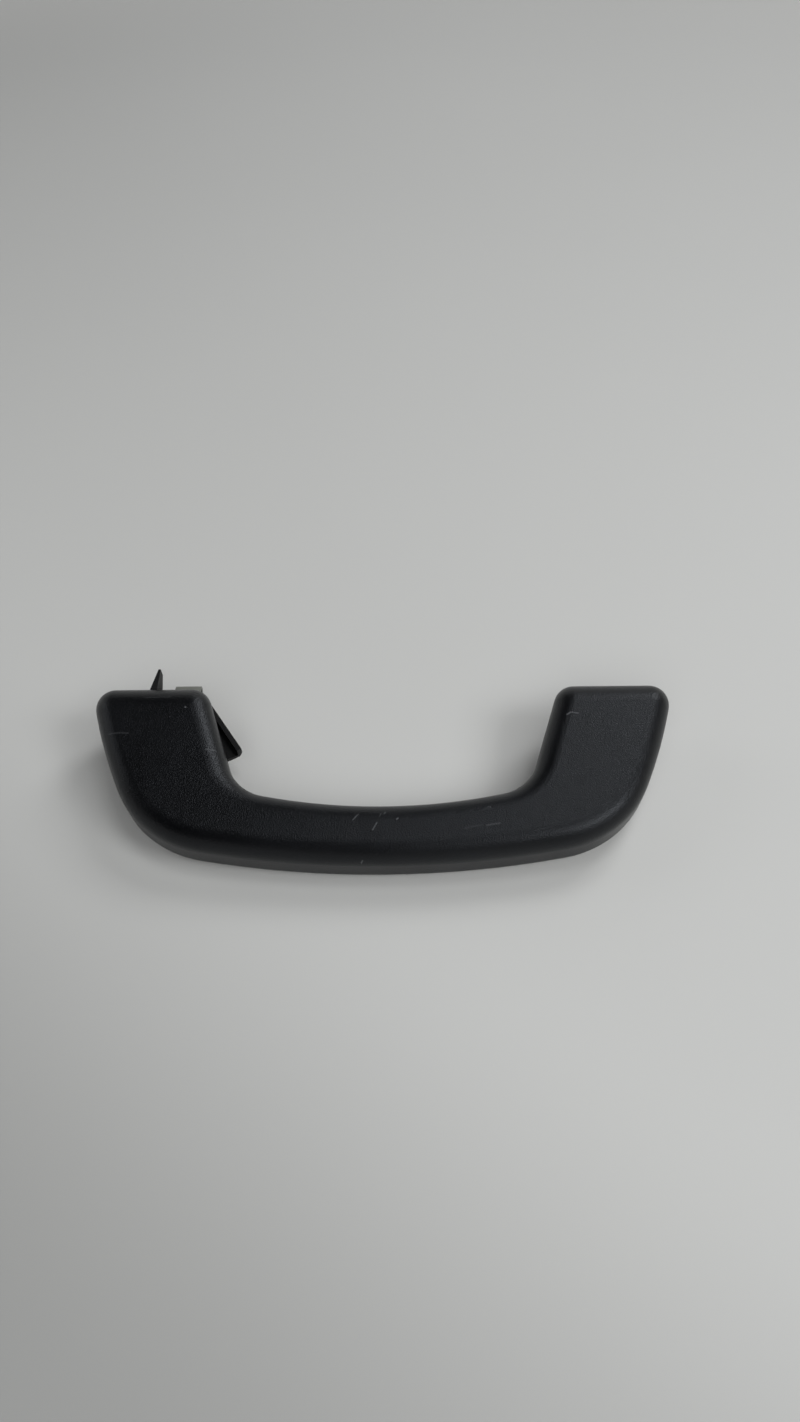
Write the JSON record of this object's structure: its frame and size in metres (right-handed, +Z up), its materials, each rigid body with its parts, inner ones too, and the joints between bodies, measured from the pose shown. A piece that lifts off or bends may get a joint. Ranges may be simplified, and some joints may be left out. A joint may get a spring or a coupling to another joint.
{
  "type": "vehicle roof grab handle",
  "caption": "U-shaped moulded grab handle with hinged clip-in mounting feet, a sprung one and a damped one, and hinged covers on its arms.",
  "frame": {"origin": "under the middle of the handle as it lies face up, on the surface it lies on", "axes": "+X along the handle, +Y from the gripping bar to the arm ends, +Z up out of the face; the grip leans 12 degrees, arm ends raised"},
  "size_m": [0.2114, 0.0792, 0.0305],
  "materials": {
    "grip_plastic": "fine-grained semi-matt",
    "foot_plastic": "matt",
    "damper_plastic": "smooth",
    "clip_steel": "zinc-plated",
    "pin_steel": "bright",
    "spring_steel": "oiled",
    "seal_rubber": "matt"
  },
  "bodies": {
    "handle": {"grip": "grip_plastic", "left_hinge_pin": "pin_steel", "right_hinge_pin": "pin_steel", "left_cover_pin": "pin_steel", "right_cover_pin": "pin_steel", "damper_housing": "damper_plastic", "damper_cap": "damper_plastic", "damper_seal_ring": "seal_rubber", "return_spring": "spring_steel"},
    "left_mount": {"left_foot": "foot_plastic", "left_spring_clip": "clip_steel", "damper_rotor": "damper_plastic"},
    "right_mount": {"right_foot": "foot_plastic", "right_spring_clip": "clip_steel"},
    "left_lock": {"left_locking_wedge": "foot_plastic"},
    "right_lock": {"right_locking_wedge": "foot_plastic"},
    "left_flap": {"left_cover": "grip_plastic"},
    "right_flap": {"right_cover": "grip_plastic"}
  },
  "joints": [
    {"name": "left_foot_hinge", "type": "hinge", "parent": "handle", "child": "left_mount", "pos_m": [-0.085, 0.01935, 0.02043], "axis": [1, 0, 0], "range_deg": [-90, 0]},
    {"name": "right_foot_hinge", "type": "hinge", "parent": "handle", "child": "right_mount", "pos_m": [0.085, 0.01935, 0.02043], "axis": [1, 0, 0], "range_deg": [0, 90], "stiffness_Nm_per_rad": 0.03, "springref_deg": -28.65, "deforming": ["return_spring"]},
    {"name": "left_lock_slide", "type": "slide", "parent": "left_mount", "child": "left_lock", "axis": [0, -0.9781, -0.2079], "range_m": [0, 0.004]},
    {"name": "right_lock_slide", "type": "slide", "parent": "right_mount", "child": "right_lock", "axis": [0, -0.2079, 0.9781], "range_m": [0, 0.004]},
    {"name": "left_cover_hinge", "type": "hinge", "parent": "handle", "child": "left_flap", "pos_m": [-0.06596, 0.0262, 0.01652], "axis": [0, -0.2079, 0.9781], "range_deg": [-16, 64]},
    {"name": "right_cover_hinge", "type": "hinge", "parent": "handle", "child": "right_flap", "pos_m": [0.06596, 0.0262, 0.01652], "axis": [0, 0.2079, -0.9781], "range_deg": [0, 80]}
  ]
}
